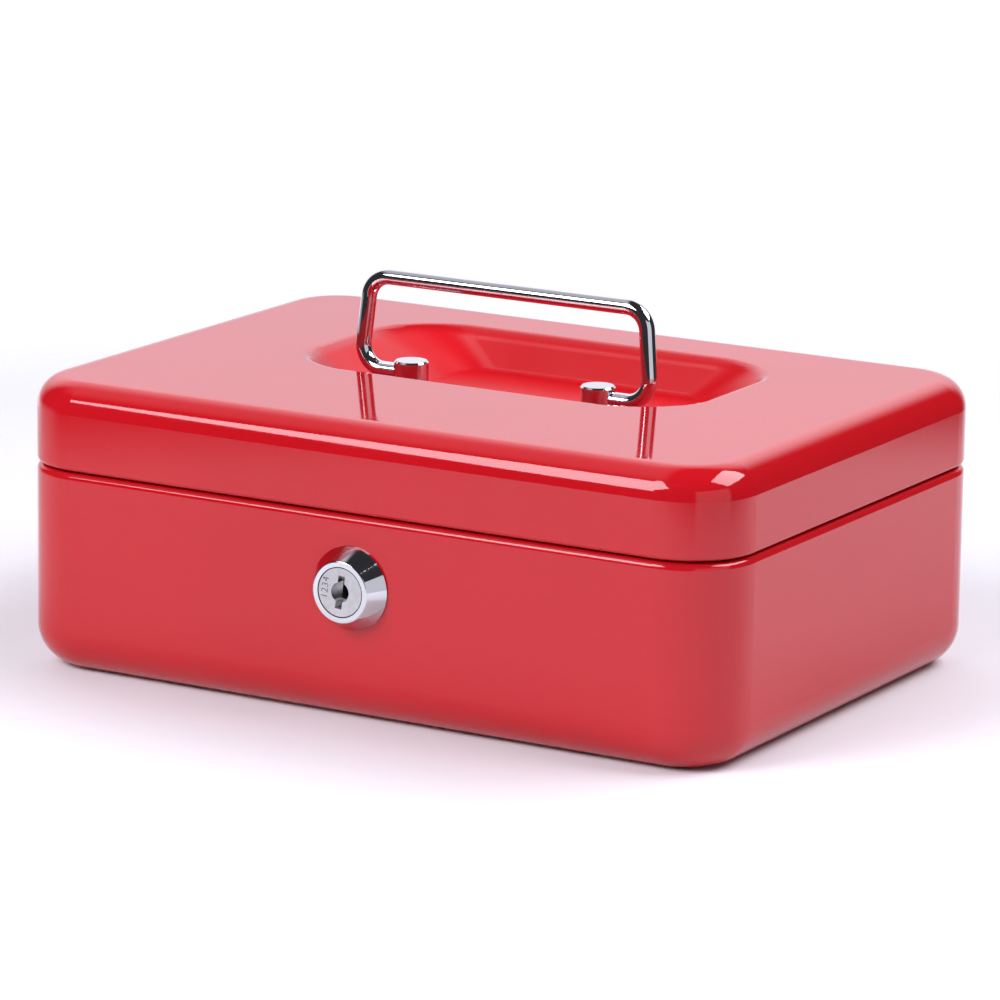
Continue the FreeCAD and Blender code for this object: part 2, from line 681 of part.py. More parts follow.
# catch: strip welded inside the lid's front, bent back over the neck and down to a tab above the lock
catch = keep(doc.addObject("PartDesign::Body", "lid_catch"), "lid_catch")
catch_back = f"({CATCH_FRONT} + catch_thickness)"
plate = sketch_on(catch, "YZ_Plane")
outline(plate, [
    (FRONT_INSIDE, CATCH_UNDER),
    (catch_back, CATCH_UNDER),
    (catch_back, f"{CATCH_UNDER} + catch_thickness"),
    (f"{FRONT_INSIDE} + catch_thickness", f"{CATCH_UNDER} + catch_thickness"),
    (f"{FRONT_INSIDE} + catch_thickness", f"{CATCH_UNDER} + catch_plate_height"),
    (FRONT_INSIDE, f"{CATCH_UNDER} + catch_plate_height"),
])
pad(catch, plate, "catch_plate_width", both=True)
leg = sketch_on(catch, "YZ_Plane")
tab_end = f"({CAM_BACK} + catch_tab_overlap)"
outline(leg, [
    (CATCH_FRONT, TAB_UNDER),
    (tab_end, TAB_UNDER),
    (tab_end, TAB_TOP),
    (catch_back, TAB_TOP),
    (catch_back, f"{CATCH_UNDER} + catch_thickness"),
    (CATCH_FRONT, f"{CATCH_UNDER} + catch_thickness"),
])
pad(catch, leg, "catch_width", both=True)


def hinge_leaf(label, side, up, knuckles):
    """A leaf on the inside of the back wall, joggled out to its share of the three knuckles."""
    leaf = keep(doc.addObject("PartDesign::Body", label), label)
    place(leaf, x=f"{side}hinge_spacing / 2", y=HINGE_AXIS, z=SEAM)
    wall = "(hinge_set_in - sheet_thickness)"
    back = f"({wall} - leaf_thickness)"
    tangent = "-knuckle_radius"
    inner = "(leaf_thickness - knuckle_radius)"
    clear = f"{up}(knuckle_radius + knuckle_gap)"
    bend = f"{up}(knuckle_radius + 2 * notch_clearance)"
    flat = f"{up}(knuckle_radius + 2 * notch_clearance + leaf_thickness)"
    end = f"{up}leaf_height"
    strap = sketch_on(leaf, "YZ_Plane")
    outline(strap, [
        (tangent, clear), (tangent, bend), (back, flat), (back, end),
        (wall, end), (wall, flat), (inner, bend), (inner, clear),
    ])
    pad(leaf, strap, "hinge_width", both=True)
    for start, length in knuckles:
        root = sketch_on(leaf, "YZ_Plane", start)
        outline(root, [(tangent, "0"), (inner, "0"), (inner, bend), (tangent, bend)])
        pad(leaf, root, length)
        knuckle = sketch_on(leaf, "YZ_Plane", start)
        circle(knuckle, "0", "0", "knuckle_radius")
        pad(leaf, knuckle, length)
    bore = sketch_on(leaf, "YZ_Plane")
    circle(bore, "0", "0", "hinge_pin_radius + hinge_pin_clearance")
    pocket(leaf, bore, "2 * hinge_width", both=True)


third = "hinge_width / 3"
middle_knuckle = [(f"-{third} / 2 + knuckle_gap / 2", f"{third} - knuckle_gap")]
outer_knuckles = [("-hinge_width / 2", f"{third} - knuckle_gap / 2"),
                  (f"{third} / 2 + knuckle_gap / 2", f"{third} - knuckle_gap / 2")]
for name, side in (("left", "-"), ("right", "")):
    hinge_leaf(f"base_hinge_leaf_{name}", side, "-", middle_knuckle)
    hinge_leaf(f"lid_hinge_leaf_{name}", side, "", outer_knuckles)
    hinge_pin = primitive("Cylinder", f"hinge_pin_{name}", Radius="hinge_pin_radius", Height="hinge_width")
    place(hinge_pin, x=f"{side}hinge_spacing / 2 - hinge_width / 2", y=HINGE_AXIS, z=SEAM,
          axis=(0, 1, 0), angle="90")
    keep(hinge_pin, f"hinge_pin_{name}")

# ledges: two angle strips welded inside the base's ends, on which the tray rests
ledges = []
for name, side in (("left", "-"), ("right", "")):
    ledge = doc.addObject("PartDesign::Body", f"tray_ledge_{name}")
    wall = f"{side}(box_width / 2 - sheet_thickness)"
    leg = f"{side}(box_width / 2 - 2 * sheet_thickness)"
    tip = f"{side}(box_width / 2 - sheet_thickness - ledge_width)"
    shelf_under = f"({TRAY_FLOOR} - sheet_thickness)"
    foot = f"({TRAY_FLOOR} - ledge_height)"
    section = sketch_on(ledge, "XZ_Plane")
    outline(section, [
        (wall, TRAY_FLOOR), (tip, TRAY_FLOOR), (tip, shelf_under),
        (leg, shelf_under), (leg, foot), (wall, foot),
    ])
    pad(ledge, section, "ledge_length", both=True)
    ledges.append(ledge)
group("tray_ledges", ledges)

# tray: moulded, lifting out of the base, notched in front for the lock and the catch
tray = keep(doc.addObject("PartDesign::Body", "coin_tray"), "coin_tray")
tray_inset = "(neck_inset + sheet_thickness + tray_clearance)"
cell_inset = f"({tray_inset} + tray_wall)"
cell_right = f"(box_width / 2 - {cell_inset})"
cell_back = f"(box_depth / 2 - {cell_inset})"
notch_side = "(tray_notch_width / 2)"
notch_back = f"({cam_head_back} + tray_notch_clearance)"
cup_front = f"({notch_back} + tray_wall)"
cup_back = f"({cup_front} + cup_row_depth)"
bin_front = f"({cup_back} + tray_wall)"
cell_floor = f"({TRAY_FLOOR} + tray_wall)"
divider_top = f"({TRAY_TOP} - divider_drop)"


def tray_outline(sketch, inset, wall="0"):
    """The tray's rounded plan drawn in, with the notch in its front side grown by a wall."""
    right = f"(box_width / 2 - {inset})"
    back = f"(box_depth / 2 - {inset})"
    radius = f"tray_corner_radius + {tray_inset} - {inset}"
    side = f"({notch_side} + {wall})"
    end = f"({notch_back} + {wall})"
    outline(sketch, [
        (f"-{right}", f"-{back}", radius), (f"-{side}", f"-{back}"), (f"-{side}", end), (side, end),
        (side, f"-{back}"), (right, f"-{back}", radius), (right, back, radius), (f"-{right}", back, radius),
    ])


block = sketch_on(tray, "XY_Plane", TRAY_FLOOR)
tray_outline(block, tray_inset)
pad(tray, block, "tray_depth")
inside = sketch_on(tray, "XY_Plane", TRAY_TOP)
tray_outline(inside, cell_inset, "tray_wall")
pocket(tray, inside, f"{TRAY_TOP} - {cell_floor}")

# partition between the coin cups and the two bins, with a cove up which coins slide out
partition = keep(doc.addObject("PartDesign::Body", "tray_partition"), "tray_partition")
cove_front = f"({cup_back} - cup_cove_radius - cup_cove_toe)"
cove_low = f"({cell_floor} + cup_cove_toe)"
section = sketch_on(partition, "YZ_Plane")
outline(section, [
    (cove_front, cell_floor), (bin_front, cell_floor), (bin_front, TRAY_TOP), (cup_back, TRAY_TOP),
    (cup_back, cove_low, "cup_cove_radius"), (cove_front, cove_low),
])
pad(partition, section, f"2 * {cell_right}", both=True)

dividers = []


def tray_divider(name, middle, corners):
    """A thin plate across the tray, with its outline given as (y, z) corners."""
    plate = doc.addObject("PartDesign::Body", name)
    section = sketch_on(plate, "YZ_Plane", middle)
    outline(section, corners)
    pad(plate, section, "tray_wall", both=True)
    dividers.append(plate)


middle_wall = f"({notch_side} + tray_wall / 2)"
outer_wall = f"(({notch_side} + tray_wall + {cell_right}) / 2)"
for name, side in (("left", "-"), ("right", "")):
    for place_name, at, front in (("inner", middle_wall, cup_front), ("outer", outer_wall, f"-{cell_back}")):
        tray_divider(f"cup_divider_{place_name}_{name}", f"{side}{at}", [
            (front, cell_floor), (cove_front, cell_floor), (cove_front, cove_low),
            (cup_back, cove_low, "cup_cove_radius"), (cup_back, divider_top), (front, divider_top),
        ])
tray_divider("bin_divider", "0", [
    (bin_front, cell_floor), (cell_back, cell_floor), (cell_back, divider_top), (bin_front, divider_top),
])
group("tray_dividers", dividers)
doc.recompute()

bad = [item.Name for item in doc.Objects if "Invalid" in item.State or "Error" in item.State]
if bad:
    raise RuntimeError(f"failed: {bad}")
os.makedirs("parts", exist_ok=True)
for node in nodes:
    shape = node.Shape
    if shape.isNull() or not shape.isValid():
        raise RuntimeError(f"{node.Label}: no valid shape")
    print(node.Label, shape.Volume, len(shape.Solids), shape.BoundBox)
    shape.exportStep(f"parts/{node.Label}.step")
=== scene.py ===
# %% [markdown]
# # A red steel cash box
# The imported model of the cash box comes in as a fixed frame, with every shell, post and lock piece at its real
# size and place. This lesson gives each of them its finish, adds the small pieces that are too fine for the
# solids, and sets up the studio in which the box is seen.

# %% Load the frame
import json
import math

import bpy
from mathutils import Euler, Matrix, Quaternion, Vector


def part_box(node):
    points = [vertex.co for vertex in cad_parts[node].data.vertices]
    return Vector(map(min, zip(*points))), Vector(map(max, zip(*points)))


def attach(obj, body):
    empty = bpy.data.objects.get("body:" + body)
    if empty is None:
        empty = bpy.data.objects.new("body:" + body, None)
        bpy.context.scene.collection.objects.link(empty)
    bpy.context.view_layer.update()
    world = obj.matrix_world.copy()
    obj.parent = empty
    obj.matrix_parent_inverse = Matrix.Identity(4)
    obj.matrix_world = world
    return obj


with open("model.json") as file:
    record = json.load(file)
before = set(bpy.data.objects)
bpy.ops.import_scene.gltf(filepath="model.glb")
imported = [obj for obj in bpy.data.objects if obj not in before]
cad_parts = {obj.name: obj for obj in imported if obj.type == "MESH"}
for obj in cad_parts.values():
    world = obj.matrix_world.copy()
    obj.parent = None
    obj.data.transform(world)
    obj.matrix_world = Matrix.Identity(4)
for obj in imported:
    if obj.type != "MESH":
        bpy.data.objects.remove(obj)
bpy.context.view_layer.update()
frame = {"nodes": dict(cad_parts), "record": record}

nodes = frame["nodes"]

# %% [markdown]
# ## A way to write finishes
# A finish is a small sum on the surface: a little noise times a strength, added to a roughness. Written with
# nodes alone such sums get long, so one small class wraps a socket and lets Python's own signs add the Math
# nodes. Every other node comes from its `node` method.

# %% A socket that Python can reckon with
class Wire:
    """One socket of a finish; +, -, * and / on it add Math nodes."""

    def __init__(self, tree, socket=None):
        self.tree = tree
        self.socket = socket

    def node(self, kind, settings=None, sockets=None, output=0):
        """Add a node: its settings first, then the values or links of its sockets."""
        made = self.tree.nodes.new(kind)
        for name, value in (settings or {}).items():
            setattr(made, name, value)
        for name, value in (sockets or {}).items():
            if isinstance(value, Wire):
                self.tree.links.new(value.socket, made.inputs[name])
            else:
                made.inputs[name].default_value = value
        return Wire(self.tree, made.outputs[output])

    def sum(self, operation, first, second):
        return self.node("ShaderNodeMath", {"operation": operation}, {0: first, 1: second})

    def __add__(self, other):
        return self.sum("ADD", self, other)

    def __radd__(self, other):
        return self.sum("ADD", other, self)

    def __sub__(self, other):
        return self.sum("SUBTRACT", self, other)

    def __rsub__(self, other):
        return self.sum("SUBTRACT", other, self)

    def __mul__(self, other):
        return self.sum("MULTIPLY", self, other)

    def __rmul__(self, other):
        return self.sum("MULTIPLY", other, self)

    def __truediv__(self, other):
        return self.sum("DIVIDE", self, other)

    def __rtruediv__(self, other):
        return self.sum("DIVIDE", other, self)

    def root(self):
        return self.node("ShaderNodeMath", {"operation": "SQRT"}, {0: self})

    def along(self, axis):
        """These coordinates' part along X, Y or Z."""
        return self.node("ShaderNodeSeparateXYZ", None, {"Vector": self}, axis)

    def between(self, low, high):
        """0 below low, 1 above high and a smooth rise between them."""
        return self.node("ShaderNodeMapRange", {"interpolation_type": "SMOOTHSTEP"},
                         {"Value": self, "From Min": low, "From Max": high})

    def blend(self, first, second):
        """The first colour where this is 0 and the second where it is 1."""
        return self.node("ShaderNodeMix", {"data_type": "RGBA"}, {0: self, 6: first, 7: second}, 2)

    def noise(self, scale, detail=2.0, roughness=0.5):
        return self.node("ShaderNodeTexNoise", None,
                         {"Vector": self, "Scale": scale, "Detail": detail, "Roughness": roughness})

    def stretched(self, x, y, z):
        """These coordinates, closer together or wider apart along each axis."""
        return self.node("ShaderNodeMapping", None, {"Vector": self, "Scale": (x, y, z)})

    def bump(self, depth):
        """A surface normal that follows this height, which is 1 at a depth in metres."""
        return self.node("ShaderNodeBump", None, {"Height": self, "Strength": 1.0, "Distance": depth})


def start_finish(name, **constants):
    """A new material, its shader, and the coordinates of the piece that it is on."""
    finish = bpy.data.materials.new(name)
    finish.use_nodes = True
    shader = finish.node_tree.nodes["Principled BSDF"]
    for socket, value in constants.items():
        shader.inputs[socket.replace("_", " ")].default_value = value
    place = Wire(finish.node_tree).node("ShaderNodeTexCoord", output="Object")
    return finish, shader, place


def feed(shader, **wires):
    """Link what changes over the surface to the shader's sockets."""
    for socket, wire in wires.items():
        wire.tree.links.new(wire.socket, shader.inputs[socket.replace("_", " ")])


def mix_in(finish, shader, amount, other):
    """Let another shader take over from a finish's own one, by an amount from 0 to 1."""
    own = Wire(finish.node_tree, shader.outputs[0])
    mixed = own.node("ShaderNodeMixShader", None, {0: amount, 1: own, 2: other})
    finish.node_tree.links.new(mixed.socket, finish.node_tree.nodes["Material Output"].inputs["Surface"])


def colour(red, green, blue):
    """A colour as a photograph's 0 to 255 steps, turned into the light that the shader works with."""
    steps = [value / 255 for value in (red, green, blue)]
    return tuple(v / 12.92 if v <= 0.04045 else ((v + 0.055) / 1.055) ** 2.4 for v in steps) + (1.0,)


print("finish tools ready")

# %% [markdown]
# ## Red enamel
# Both shells are sprayed with a thick gloss enamel and baked. Its own colour is a deep red, and the pink of the
# lid comes only from the bright room mirrored in it. So the finish is one smooth clear reflection over red: the
# shade drifts a little, the film has a faint orange-peel ripple and a few dust nibs, and handling has left the
# gloss uneven. In the handle's well a second shader takes over from the glossy one. It is rougher and has less
# than half the reflection, and its lighter red is painted light that stands in for the brighter light in the
# well.

# %% Red enamel
WELL_SIDES = (0.0740, 0.0785)
WELL_FRONT = (-0.024, -0.018)
WELL_REAR = (0.0575, 0.0635)
WELL_RIM_DEPTH = 0.0030
FILM_RIPPLE = 0.000004
enamel, shader, place = start_finish("red_enamel", IOR=1.5)
lid_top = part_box("lid_shell")[1].z
sideways, backward, upward = place.along("X"), place.along("Y"), place.along("Z")
in_width = 1 - (sideways * sideways).between(WELL_SIDES[0] ** 2, WELL_SIDES[1] ** 2)
in_length = backward.between(*WELL_FRONT) * (1 - backward.between(*WELL_REAR))
facing = place.node("ShaderNodeTexCoord", output="Normal")
outside = facing.along("Z").between(-0.05, 0.05)
well = in_width * in_length * outside * (lid_top - upward).between(0.0, WELL_RIM_DEPTH)
drift = place.noise(9.0, 3.0).between(0.3, 0.7)
peel = place.noise(420.0, 1.0)
nibs = place.noise(330.0).between(0.80, 0.84)
smears = place.stretched(1.0, 1.0, 2.5).noise(38.0, 4.0, 0.6).between(0.45, 0.75)
ripple = (peel + 3.0 * nibs).bump(FILM_RIPPLE)
feed(shader,
     Base_Color=drift.blend(colour(176, 15, 24), colour(181, 17, 27)),
     Roughness=0.05 + 0.04 * smears,
     Normal=ripple)
# The second shader's lighter red is painted light for the brighter light in the well; its roughness and weaker
# reflection are its own.
painted_light_matte_film = place.node("ShaderNodeBsdfPrincipled", None,
                       {"Base Color": drift.blend(colour(194, 17, 27), colour(199, 19, 29)),
                        "Roughness": 0.40 + 0.06 * smears,
                        "Specular IOR Level": 0.23,
                        "Normal": ripple})
mix_in(enamel, shader, well, painted_light_matte_film)
print("finish:", enamel.name)

# %% [markdown]
# ## Polished chrome
# The handle, its posts and the lock's bezel are chromed over polished metal. A chrome finish is nearly all
# reflection, so what matters is that the gloss isn't perfect: fine wiping marks make it a touch wider here and
# there.

# %% Polished chrome
chrome, shader, place = start_finish("polished_chrome", Metallic=1.0)
wiping = place.stretched(3.0, 1.0, 1.0).noise(160.0, 5.0, 0.65)
haze = place.noise(45.0, 2.0)
feed(shader,
     Base_Color=haze.between(0.3, 0.7).blend((0.60, 0.61, 0.64, 1), (0.68, 0.69, 0.71, 1)),
     Roughness=0.045 + 0.05 * wiping.between(0.45, 0.8),
     Normal=wiping.bump(0.0000003))
print("finish:", chrome.name)

# %% [markdown]
# ## Satin nickel
# The face of the lock's plug is not mirror bright like its bezel: it is faced off flat on a lathe and plated, so
# it has very fine rings and looks an even light grey. Round its edge, where it turns in the bezel, a dark line
# is
# painted: painted shade of the narrow gap between plug and bezel.

# %% Satin nickel
GAP_SHADE_FROM_EDGE = (0.00034, 0.00022)
plug_low, plug_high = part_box("lock_plug")
lock_height = (plug_low.z + plug_high.z) / 2
nickel, shader, place = start_finish("satin_nickel", Metallic=1.0)
across = place.along("X")
upward = place.along("Z") - lock_height
rings = (across * across + upward * upward).root()
turned = rings.node("ShaderNodeTexNoise", {"noise_dimensions": "1D"},
                    {"W": rings, "Scale": 9000.0, "Detail": 2.0})
grain = place.noise(700.0, 3.0)
plug_radius = plug_high.x
# A near-black ring at the plug's edge: painted shade of the gap round the plug.
painted_gap_shade = rings.between(*(plug_radius - inward for inward in GAP_SHADE_FROM_EDGE))
plain_face_colour = grain.between(0.3, 0.7).blend((0.54, 0.54, 0.55, 1), (0.61, 0.61, 0.62, 1))
feed(shader,
     Base_Color=painted_gap_shade.blend(plain_face_colour, (0.02, 0.02, 0.022, 1)),
     Roughness=0.24 + 0.12 * turned + 0.3 * painted_gap_shade,
     Normal=turned.bump(0.000002))
print("finish:", nickel.name)

# %% [markdown]
# ## Zinc-plated steel
# Nuts, washers, screws, hinge pins and the cam are barrel-plated with zinc. The plating is bright but not
# smooth: it has a cloudy, slightly bluish bloom and short scratches from tumbling.

# %% Zinc-plated steel
zinc, shader, place = start_finish("zinc_plated_steel", Metallic=1.0)
bloom = place.noise(260.0, 4.0, 0.6)
tumbling = place.stretched(1.0, 6.0, 2.0).noise(900.0, 3.0)
feed(shader,
     Base_Color=bloom.between(0.35, 0.65).blend((0.50, 0.52, 0.54, 1), (0.68, 0.68, 0.66, 1)),
     Roughness=0.26 + 0.16 * bloom.between(0.3, 0.7) + 0.06 * tumbling,
     Normal=tumbling.bump(0.000004))
print("finish:", zinc.name)

# %% [markdown]
# ## Stamped wafers
# The wafers in the plug are stamped from brass strip and flashed with nickel. Only their edges show, deep in the
# key slot, so they are a pale warm metal with the dull streaks of a sheared edge.

# %% Stamped wafers
brass, shader, place = start_finish("stamped_brass", Metallic=1.0)
sheared = place.stretched(1.0, 8.0, 1.0).noise(1200.0, 3.0)
feed(shader,
     Base_Color=sheared.between(0.3, 0.7).blend((0.46, 0.44, 0.40, 1), (0.62, 0.60, 0.55, 1)),
     Roughness=0.28 + 0.2 * sheared,
     Normal=sheared.bump(0.000004))
print("finish:", brass.name)

# %% [markdown]
# ## Black tray plastic
# The coin tray is moulded from black plastic in a spark-eroded mould, which leaves an even fine grain. Coins
# have polished it here and there and left a few faint grey streaks.

# %% Black tray plastic
plastic, shader, place = start_finish("black_tray_plastic", IOR=1.46)
spark = place.noise(1800.0, 2.0, 0.7)
polish = place.noise(60.0, 3.0).between(0.35, 0.7)
streaks = place.stretched(1.0, 0.12, 1.0).noise(420.0, 4.0, 0.6).between(0.60, 0.80)
feed(shader,
     Base_Color=(0.5 * streaks + 0.15 * spark).blend((0.014, 0.014, 0.015, 1), (0.055, 0.055, 0.058, 1)),
     Roughness=0.50 - 0.12 * polish + 0.05 * streaks,
     Normal=spark.bump(0.000025))
print("finish:", plastic.name)

# %% [markdown]
# ## Put the finishes on
# Each CAD node names a material slot in the record. Its own finish takes that slot's place, and the plug's face
# gets the satin nickel instead of the mirror chrome of its neighbours.

# %% Put the finishes on
finishes = {
    "red_enamel": enamel,
    "polished_chrome": chrome,
    "plated_steel": zinc,
    "wafer_brass": brass,
    "tray_plastic": plastic,
}
own_finish = {"lock_plug": nickel}
for subpart in frame["record"]["subparts"]:
    name = subpart["node"]
    mesh = nodes[name].data
    mesh.materials.clear()
    mesh.materials.append(own_finish.get(name, finishes[subpart["material_slot"]]))

# %% [markdown]
# ## Tools for the small pieces
# New pieces start as one of Blender's primitives, at the size and place of the real thing, and are shaped in
# edit mode. Operators act on all that is selected, and the frame's nodes come in selected, so everything is let
# go first.

# %% Tools for the small pieces
def begin(add, **settings):
    """Add a primitive with nothing else selected."""
    bpy.ops.object.select_all(action="DESELECT")
    add(**settings)
    return bpy.context.object


def settle(piece, name, finish, body):
    """Put a piece's place into its mesh, and let it ride on a body."""
    bpy.ops.object.select_all(action="DESELECT")
    piece.select_set(True)
    bpy.context.view_layer.objects.active = piece
    bpy.ops.object.transform_apply(location=True, rotation=True, scale=True)
    piece.name = name
    piece.data.name = name
    piece.data.materials.clear()
    piece.data.materials.append(finish)
    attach(piece, body)
    print("piece:", name, "faces:", len(piece.data.polygons))


print("piece tools ready")

# %% [markdown]
# ## Key number
# A cash box's lock carries a short number beside the keyhole, so that a lost key can be ordered again. It is
# rolled into the plug's face and holds a little dark oil. A text object gives clean figures: it becomes a mesh,
# thin as the oil that fills the stamping, and it turns with the plug.

# %% Key number
FIGURE_SIZE = 0.0033
FIGURE_SPACING = 1.05
FIGURE_THINNING = 0.000022
OIL_THICKNESS = 0.000015
KEY_SLOT_TILT = 7.0
FROM_KEYHOLE = (-0.0052, 0.0009)
oil, shader, place = start_finish("stamped_figures", Metallic=1.0)
mottle = place.noise(2500.0, 3.0)
feed(shader,
     Base_Color=mottle.between(0.3, 0.7).blend((0.10, 0.09, 0.09, 1), (0.22, 0.20, 0.19, 1)),
     Roughness=0.45 + 0.2 * mottle)
number = begin(bpy.ops.object.text_add)
number.data.body = "1234"
number.data.size = FIGURE_SIZE
number.data.space_character = FIGURE_SPACING
number.data.offset = -FIGURE_THINNING
number.data.extrude = OIL_THICKNESS
number.data.align_x = "CENTER"
number.data.align_y = "CENTER"
bpy.ops.object.convert(target="MESH")
number = bpy.context.object
facing_front = Matrix.Rotation(math.radians(90), 4, "X")
reading_up = Matrix.Rotation(math.radians(90 - KEY_SLOT_TILT), 4, Vector((0, -1, 0)))
beside_keyhole = Matrix.Translation((FROM_KEYHOLE[0], plug_low.y, lock_height + FROM_KEYHOLE[1]))
number.matrix_world = beside_keyhole @ reading_up @ facing_front
settle(number, "key_number", oil, "lock_core")

# %% [markdown]
# ## Lock thread
# Behind the front wall the lock's barrel is threaded for its nut. The solid barrel is plain, so the thread is a
# small diamond-shaped section that the Screw modifier winds round the lock's axis, half sunk in the barrel. Its
# open ends are filled, and its faces are turned outwards.

# %% Lock thread
BARREL_RADIUS = 0.0095
THREAD_PITCH = 0.0011
THREAD_TURNS = 8
THREAD_HEIGHT = 0.0004
THREAD_BEHIND_NUT = 0.0005
SMOOTH_BELOW = math.radians(40)
thread = begin(bpy.ops.mesh.primitive_circle_add, vertices=4, radius=THREAD_HEIGHT)
bpy.ops.object.mode_set(mode="EDIT")
bpy.ops.mesh.select_all(action="SELECT")
bpy.ops.transform.translate(value=(BARREL_RADIUS - THREAD_HEIGHT / 4, 0, 0))
bpy.ops.object.mode_set(mode="OBJECT")
winding = thread.modifiers.new("winding", "SCREW")
winding.axis = "Y"
winding.screw_offset = THREAD_PITCH
winding.iterations = THREAD_TURNS
winding.steps = winding.render_steps = 48
bpy.ops.object.modifier_apply(modifier=winding.name)
bpy.ops.object.mode_set(mode="EDIT")
bpy.ops.mesh.select_all(action="SELECT")
bpy.ops.mesh.fill_holes(sides=4)
bpy.ops.mesh.normals_make_consistent(inside=False)
bpy.ops.object.mode_set(mode="OBJECT")
bpy.ops.object.shade_smooth_by_angle(angle=SMOOTH_BELOW)
thread.location = (0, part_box("lock_nut")[1].y + THREAD_BEHIND_NUT, lock_height)
settle(thread, "lock_thread", chrome, "base")

# %% [markdown]
# ## Spot welds
# The hinge leaves and the catch are spot-welded inside the shells before these are painted. Each weld leaves a
# shallow dish with a raised rim where the electrode pressed. One is modelled from a flat cylinder: its top is
# inset twice, the second time sinking, and its rim is bevelled. Copies, each with its own mesh, then go to every
# weld.

# %% One spot weld
WELD_RADIUS = 0.0021
WELD_HEIGHT = 0.0003
RIM_WIDTH = 0.0003
RIM_ROUNDING = 0.00005
DISH_SLOPE = 0.0005
DISH_DEPTH = 0.0001
weld = begin(bpy.ops.mesh.primitive_cylinder_add, vertices=32, radius=WELD_RADIUS, depth=WELD_HEIGHT)
for face in weld.data.polygons:
    face.select = face.normal.z > 0.9
for edge in weld.data.edges:
    edge.select = False
bpy.ops.object.mode_set(mode="EDIT")
bpy.ops.mesh.select_mode(type="FACE")
bpy.ops.mesh.inset(thickness=RIM_WIDTH)
bpy.ops.mesh.inset(thickness=DISH_SLOPE, depth=-DISH_DEPTH)
bpy.ops.object.mode_set(mode="OBJECT")
rim = weld.modifiers.new("rim", "BEVEL")
rim.width = RIM_ROUNDING
rim.segments = 2
bpy.ops.object.modifier_apply(modifier=rim.name)
bpy.ops.object.shade_smooth_by_angle(angle=SMOOTH_BELOW)
print("spot weld faces:", len(weld.data.polygons))

# %% All spot welds
FACE_FRONT = 90
FACE_BACK = -90
LEAF_SEAT = 0.001
CATCH_SEAT = 0.0012
HINGE_MIDDLES = (-0.065, 0.065)
ALONG_LEAF = (-0.012, 0.0, 0.012)
ALONG_CATCH = (-0.0095, 0.0095)
LID_LEAF_HEIGHT = 0.0755
BASE_LEAF_HEIGHT = 0.0541
CATCH_HEIGHT = 0.0766
leaf_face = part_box("lid_hinge_leaf_left")[0].y + LEAF_SEAT
catch_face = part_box("lid_catch")[0].y + CATCH_SEAT
seats = []
for hinge in HINGE_MIDDLES:
    for aside in ALONG_LEAF:
        seats.append(("lid", FACE_FRONT, (hinge + aside, leaf_face, LID_LEAF_HEIGHT)))
        seats.append(("base", FACE_FRONT, (hinge + aside, leaf_face, BASE_LEAF_HEIGHT)))
for aside in ALONG_CATCH:
    seats.append(("lid", FACE_BACK, (aside, catch_face, CATCH_HEIGHT)))
for number_of_weld, (body, turn, seat) in enumerate(seats, start=1):
    spot = weld.copy()
    spot.data = weld.data.copy()
    bpy.context.scene.collection.objects.link(spot)
    spot.rotation_euler = (math.radians(turn), 0, 0)
    spot.location = seat
    settle(spot, f"spot_weld_{number_of_weld:02d}", enamel, body)
bpy.data.objects.remove(weld)

# %% [markdown]
# ## Stage
# The box stands on a sheet of white paper. Only the paper near the box is needed, to carry its shadow and to be
# mirrored in its sides, so the sheet fades away all round into the white of the studio.

# %% Paper
PAPER_SIZE = 4
PAPER_FADES = (0.40, 0.55)
floor = begin(bpy.ops.mesh.primitive_plane_add, size=PAPER_SIZE)
floor.name = "floor"
paper, shader, place = start_finish("white_paper", Roughness=0.9)
cloudy = place.noise(3.0).between(0.3, 0.7)
feed(shader, Base_Color=cloudy.blend((0.73, 0.73, 0.74, 1), (0.75, 0.75, 0.76, 1)))
from_middle = (place.along("X") * place.along("X") + place.along("Y") * place.along("Y")).root()
mix_in(paper, shader, from_middle.between(*PAPER_FADES), place.node("ShaderNodeBsdfTransparent"))
floor.data.materials.append(paper)
print("paper:", floor.dimensions[:])

# %% [markdown]
# ## Light
# Gloss enamel and chrome show little but the room they stand in, so the room is the finish's other half. It is
# a dark studio with a white sweep behind the box, which turns the lid pink, and a white card on its right, which
# the lock mirrors. A dim ceiling on the left and the far end of the table keep the wire handle from going black.
# What lies directly behind the box in the picture stays white.

# %% Room
UNLIT = 0.04
SEEN_WHITE = 1.05
ROOM_COLOUR = (0.98, 0.97, 1.06, 1)
room = bpy.data.worlds.new("studio")
bpy.context.scene.world = room
room.use_nodes = True
air = Wire(room.node_tree)
way = air.node("ShaderNodeTexCoord", output="Generated")
to_right, to_back, rise = way.along("X"), way.along("Y"), way.along("Z")
level = (to_right * to_right + to_back * to_back).root()


def towards(bearing):
    """1 in the direction of a bearing (0 is the front, 90 the right), falling to -1 behind it."""
    turn = math.radians(bearing)
    return (to_right * math.sin(turn) - to_back * math.cos(turn)) / level


sweep = towards(214).between(0.656, 0.92) * (1 - rise.between(0.67, 0.87))
sweep = sweep * (1.0 + 0.6 * rise.between(0.14, 0.44) - 0.3 * rise.between(0.45, 0.68))
card = 0.8 * towards(66).between(0.87, 0.90) * (1 - rise.between(0.44, 0.46))
ceiling = 0.60 * rise.between(0.66, 0.86) * (1 - to_right.between(-0.40, -0.20))
far_table = 0.60 * towards(262).between(0.70, 0.95) * (1 - rise.between(-0.15, 0.0))
light = UNLIT + sweep + card + ceiling + far_table
seen = air.node("ShaderNodeLightPath", output="Is Camera Ray")
background = room.node_tree.nodes["Background"]
background.inputs["Color"].default_value = ROOM_COLOUR
feed(background, Strength=light + seen * (SEEN_WHITE - light))
print("room:", room.name)

# %% Softboxes
LAMP_COLOUR = (0.925, 0.915, 1.0)


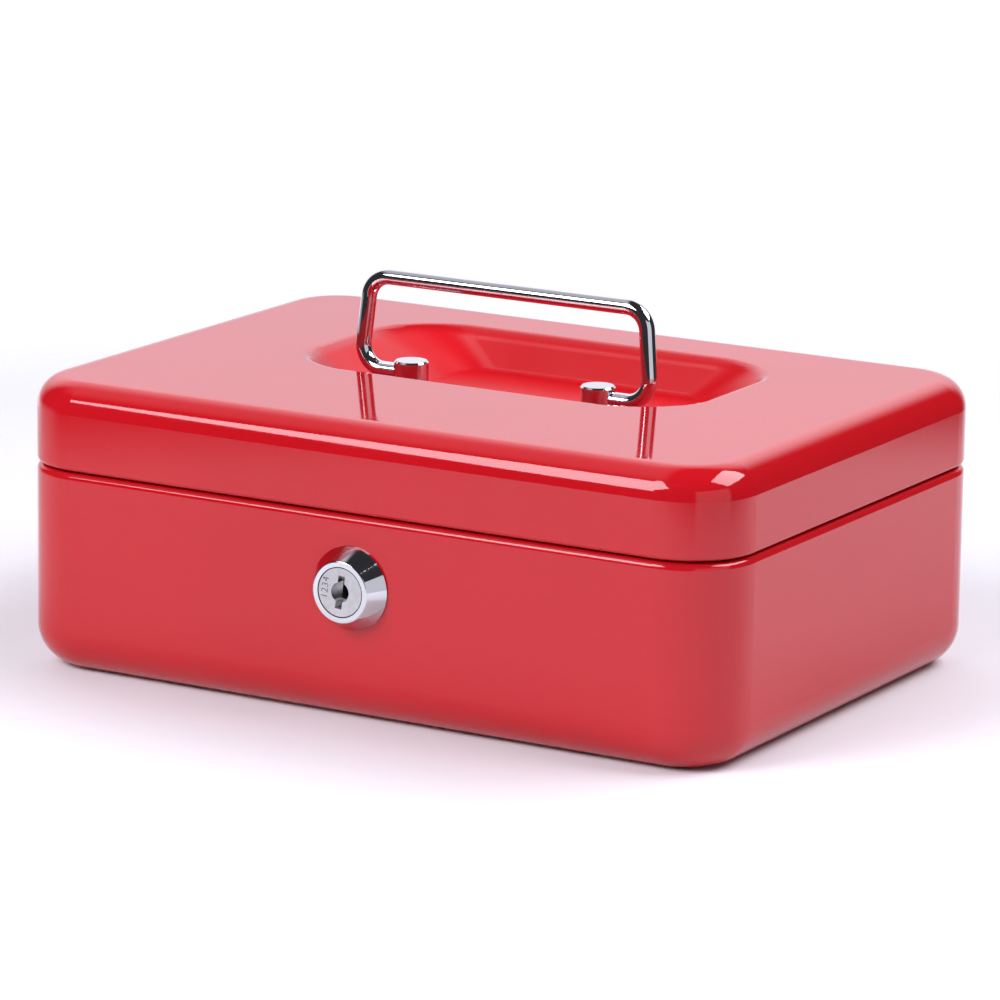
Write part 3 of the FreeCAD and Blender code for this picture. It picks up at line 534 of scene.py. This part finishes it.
def softbox(name, target, bearing, rise, distance, width, height, radiance, roll=0.0):
    """A rectangular light that faces a point, from a bearing and a rise in degrees, rolled about its beam."""
    a, e = math.radians(bearing), math.radians(rise)
    outward = Vector((math.sin(a) * math.cos(e), -math.cos(a) * math.cos(e), math.sin(e)))
    lamp = bpy.data.lights.new(name, "AREA")
    lamp.shape = "RECTANGLE"
    lamp.size = width
    lamp.size_y = height
    lamp.color = LAMP_COLOUR
    lamp.energy = radiance * math.pi * width * height
    stand = bpy.data.objects.new(name, lamp)
    stand.location = Vector(target) + outward * distance
    beam = outward.to_track_quat("Z", "Y") @ Quaternion((0, 0, 1), math.radians(roll))
    stand.rotation_euler = beam.to_euler()
    bpy.context.scene.collection.objects.link(stand)
    print("softbox:", name, [round(v, 2) for v in stand.location])
    return stand


softbox("front_left_softbox", (0.0, -0.09, 0.09), bearing=-26, rise=34, distance=1.5,
        width=0.73, height=0.73, radiance=9.5, roll=45)
softbox("rear_right_softbox", (0.12, -0.07, 0.09), bearing=124, rise=50, distance=1.4,
        width=1.25, height=0.75, radiance=8.5)
fill = softbox("front_fill", (0.0, 0.0, 0.05), bearing=-12, rise=36, distance=2.2,
               width=1.6, height=1.2, radiance=4.6)
fill.visible_glossy = False

# %% Camera
FOCAL_LENGTH = 205.76
CAMERA_PLACE = (0.87423, -1.51148, 0.46033)
LOOKING_DOWN = 13.161
TURNED_LEFT = 30.065
ROLLED = 0.843
camera = bpy.data.objects.new("camera", bpy.data.cameras.new("camera"))
bpy.context.scene.collection.objects.link(camera)
camera.data.sensor_width = 36.0
camera.data.lens = FOCAL_LENGTH
camera.data.clip_end = 50.0
camera.location = CAMERA_PLACE
aim = Euler((math.radians(90 - LOOKING_DOWN), 0, math.radians(TURNED_LEFT))).to_matrix()
camera.rotation_euler = (aim @ Matrix.Rotation(math.radians(ROLLED), 3, "Z")).to_euler()
bpy.context.scene.camera = camera
bpy.context.scene.view_settings.view_transform = "Standard"
print("camera:", [round(v, 3) for v in camera.location])
